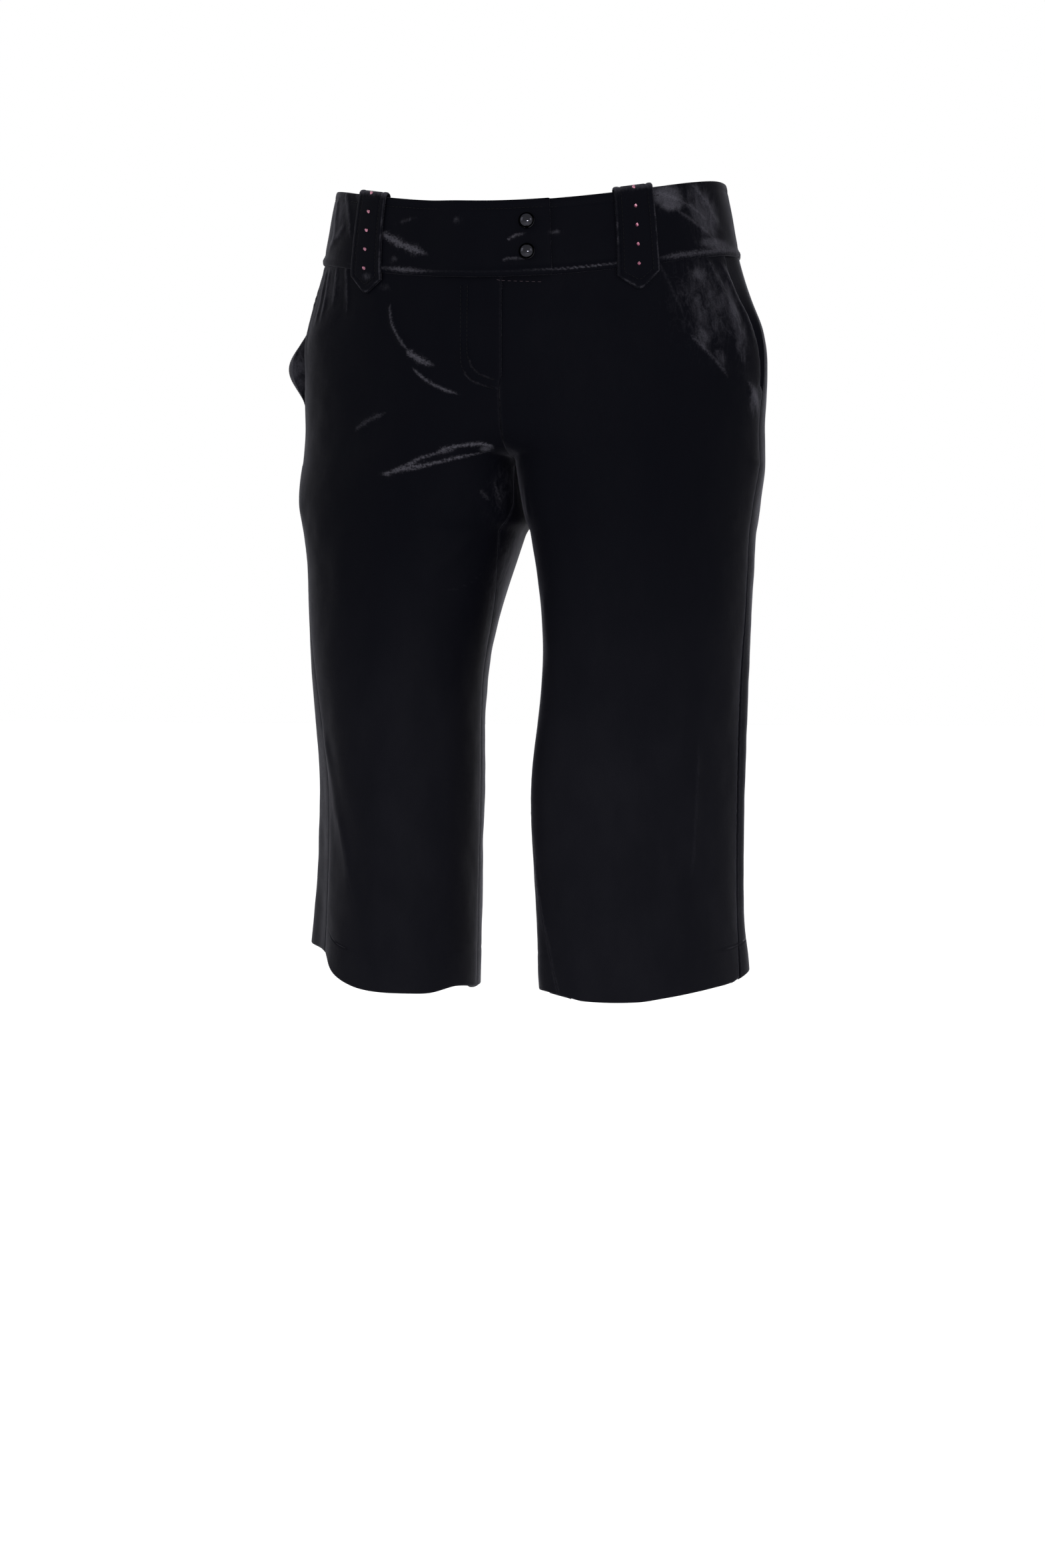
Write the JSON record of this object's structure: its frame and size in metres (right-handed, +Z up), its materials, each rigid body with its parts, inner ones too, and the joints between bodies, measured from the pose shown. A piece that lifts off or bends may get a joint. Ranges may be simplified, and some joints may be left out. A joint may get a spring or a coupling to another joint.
{
  "type": "bermuda shorts",
  "caption": "Knee-length velvet shorts in their hollow worn form, with a shaped waistband, domed buttons at the lap, pointed belt tabs and slanted side pockets.",
  "frame": {"origin": "middle of the waist opening, level with the top of the waistband at the sides", "axes": "+Z up, -Y to the front of the garment, +X to the wearer's left"},
  "size_m": [0.369, 0.2452, 0.6089],
  "materials": {
    "black_velvet": "short silky pile with a soft sheen",
    "zip_tape": "matt woven tape",
    "gunmetal": "dark polished gunmetal",
    "rose_crystal": "cut, foil-backed"
  },
  "bodies": {
    "root": {"front_left": "black_velvet", "front_right": "black_velvet", "back_left": "black_velvet", "back_right": "black_velvet", "pocket_facing_left": "black_velvet", "pocket_facing_right": "black_velvet", "waistband_front_left": "black_velvet", "waistband_front_right": "black_velvet", "waistband_back": "black_velvet", "belt_tab_left": "black_velvet", "belt_tab_right": "black_velvet", "fly_guard": "black_velvet", "zip": "zip_tape", "button_1": "gunmetal", "button_2": "gunmetal", "stone_left_1": "rose_crystal", "stone_left_2": "rose_crystal", "stone_left_3": "rose_crystal", "stone_left_4": "rose_crystal", "stone_left_5": "rose_crystal", "stone_right_1": "rose_crystal", "stone_right_2": "rose_crystal", "stone_right_3": "rose_crystal", "stone_right_4": "rose_crystal", "stone_right_5": "rose_crystal"}
  },
  "joints": []
}
